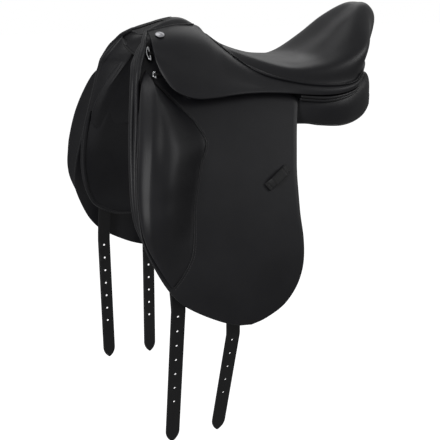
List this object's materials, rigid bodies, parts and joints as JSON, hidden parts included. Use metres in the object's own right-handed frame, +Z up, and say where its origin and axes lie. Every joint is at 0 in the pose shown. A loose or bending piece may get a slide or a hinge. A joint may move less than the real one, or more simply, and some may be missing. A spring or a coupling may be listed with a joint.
{
  "type": "dressage saddle",
  "caption": "Deep-seated dressage saddle with cut-back pommel, long lifting flaps with knee blocks, sweat flaps, flocked panels and hanging girth straps.",
  "frame": {"origin": "in the channel between the panels, on the centre plane, level with the lower bearing surface of the panels under the seat", "axes": "+X to the near (left) side, -Y towards the pommel, +Z up"},
  "size_m": [0.4698, 0.5384, 0.7277],
  "materials": {
    "black_leather": "satin",
    "chrome": "polished",
    "steel": "satin",
    "beech": "matt",
    "webbing": "matt",
    "foam": "matt",
    "flock": "matt"
  },
  "bodies": {
    "saddle": {"tree_head": "beech", "left_tree_side": "beech", "right_tree_side": "beech", "left_tree_rail": "beech", "right_tree_rail": "beech", "tree_cantle": "beech", "left_tree_point": "beech", "right_tree_point": "beech", "head_plate": "steel", "seat_webbing": "webbing", "seat_foam": "foam", "seat_cover": "black_leather", "pommel_cap": "black_leather", "pommel_facing": "black_leather", "left_skirt_top": "black_leather", "right_skirt_top": "black_leather", "left_panel_cover": "black_leather", "right_panel_cover": "black_leather", "left_panel_flock": "flock", "right_panel_flock": "flock", "left_sweat_flap": "black_leather", "right_sweat_flap": "black_leather", "left_flap_head": "black_leather", "right_flap_head": "black_leather", "left_girth_web": "webbing", "right_girth_web": "webbing", "left_front_strap_top": "black_leather", "left_rear_strap_top": "black_leather", "right_front_strap_top": "black_leather", "right_rear_strap_top": "black_leather", "left_stirrup_bar": "steel", "right_stirrup_bar": "steel", "left_bar_rivets": "steel", "right_bar_rivets": "steel", "left_dee_chapes": "black_leather", "right_dee_chapes": "black_leather", "left_stud": "chrome", "right_stud": "chrome"},
    "left_flap": {"left_flap": "black_leather", "left_knee_block": "black_leather", "left_keeper": "black_leather"},
    "right_flap": {"right_flap": "black_leather", "right_knee_block": "black_leather", "right_keeper": "black_leather"},
    "left_skirt": {"left_skirt": "black_leather"},
    "right_skirt": {"right_skirt": "black_leather"},
    "left_front_billet": {"left_front_billet": "black_leather"},
    "right_front_billet": {"right_front_billet": "black_leather"},
    "left_rear_billet": {"left_rear_billet": "black_leather"},
    "right_rear_billet": {"right_rear_billet": "black_leather"},
    "left_upper_dee": {"left_upper_dee": "chrome"},
    "right_upper_dee": {"right_upper_dee": "chrome"},
    "left_lower_dee": {"left_lower_dee": "chrome"},
    "right_lower_dee": {"right_lower_dee": "chrome"},
    "left_bar_catch": {"left_bar_catch": "steel"},
    "right_bar_catch": {"right_bar_catch": "steel"}
  },
  "joints": [
    {"name": "left_flap_lift", "type": "hinge", "parent": "saddle", "child": "left_flap", "pos_m": [0.1124, -0.15, 0.063], "axis": [0, -1, 0], "range_deg": [0, 75]},
    {"name": "right_flap_lift", "type": "hinge", "parent": "saddle", "child": "right_flap", "pos_m": [-0.1124, -0.15, 0.063], "axis": [0, 1, 0], "range_deg": [0, 75]},
    {"name": "left_skirt_lift", "type": "hinge", "parent": "saddle", "child": "left_skirt", "pos_m": [0.074, -0.253, 0.1525], "axis": [-0.2118, -0.9147, 0.3442], "range_deg": [0, 75]},
    {"name": "right_skirt_lift", "type": "hinge", "parent": "saddle", "child": "right_skirt", "pos_m": [-0.074, -0.253, 0.1525], "axis": [-0.2118, 0.9147, -0.3442], "range_deg": [0, 75]},
    {"name": "left_front_billet_swing", "type": "hinge", "parent": "saddle", "child": "left_front_billet", "pos_m": [0.203, -0.269, -0.25], "axis": [0, -1, 0], "range_deg": [-30, 40]},
    {"name": "right_front_billet_swing", "type": "hinge", "parent": "saddle", "child": "right_front_billet", "pos_m": [-0.203, -0.269, -0.25], "axis": [0, 1, 0], "range_deg": [-30, 40]},
    {"name": "left_rear_billet_swing", "type": "hinge", "parent": "saddle", "child": "left_rear_billet", "pos_m": [0.20641, -0.172, -0.309], "axis": [0, -1, 0], "range_deg": [-30, 40]},
    {"name": "right_rear_billet_swing", "type": "hinge", "parent": "saddle", "child": "right_rear_billet", "pos_m": [-0.20641, -0.172, -0.309], "axis": [0, 1, 0], "range_deg": [-30, 40]},
    {"name": "left_upper_dee_swing", "type": "hinge", "parent": "saddle", "child": "left_upper_dee", "pos_m": [0.06728, -0.2575, 0.14598], "axis": [-0.5342, 0, 0.8454], "range_deg": [0, 85]},
    {"name": "right_upper_dee_swing", "type": "hinge", "parent": "saddle", "child": "right_upper_dee", "pos_m": [-0.06728, -0.2575, 0.14598], "axis": [-0.5342, 0, -0.8454], "range_deg": [0, 85]},
    {"name": "left_lower_dee_swing", "type": "hinge", "parent": "saddle", "child": "left_lower_dee", "pos_m": [0.08709, -0.256, 0.11391], "axis": [-0.5167, 0, 0.8561], "range_deg": [0, 85]},
    {"name": "right_lower_dee_swing", "type": "hinge", "parent": "saddle", "child": "right_lower_dee", "pos_m": [-0.08709, -0.256, 0.11391], "axis": [-0.5167, 0, -0.8561], "range_deg": [0, 85]},
    {"name": "left_bar_catch_turn", "type": "hinge", "parent": "saddle", "child": "left_bar_catch", "pos_m": [0.10936, -0.136, 0.0878], "axis": [0.8661, 0, 0.4998], "range_deg": [0, 90]},
    {"name": "right_bar_catch_turn", "type": "hinge", "parent": "saddle", "child": "right_bar_catch", "pos_m": [-0.10936, -0.136, 0.0878], "axis": [0.8661, 0, -0.4998], "range_deg": [0, 90]}
  ]
}
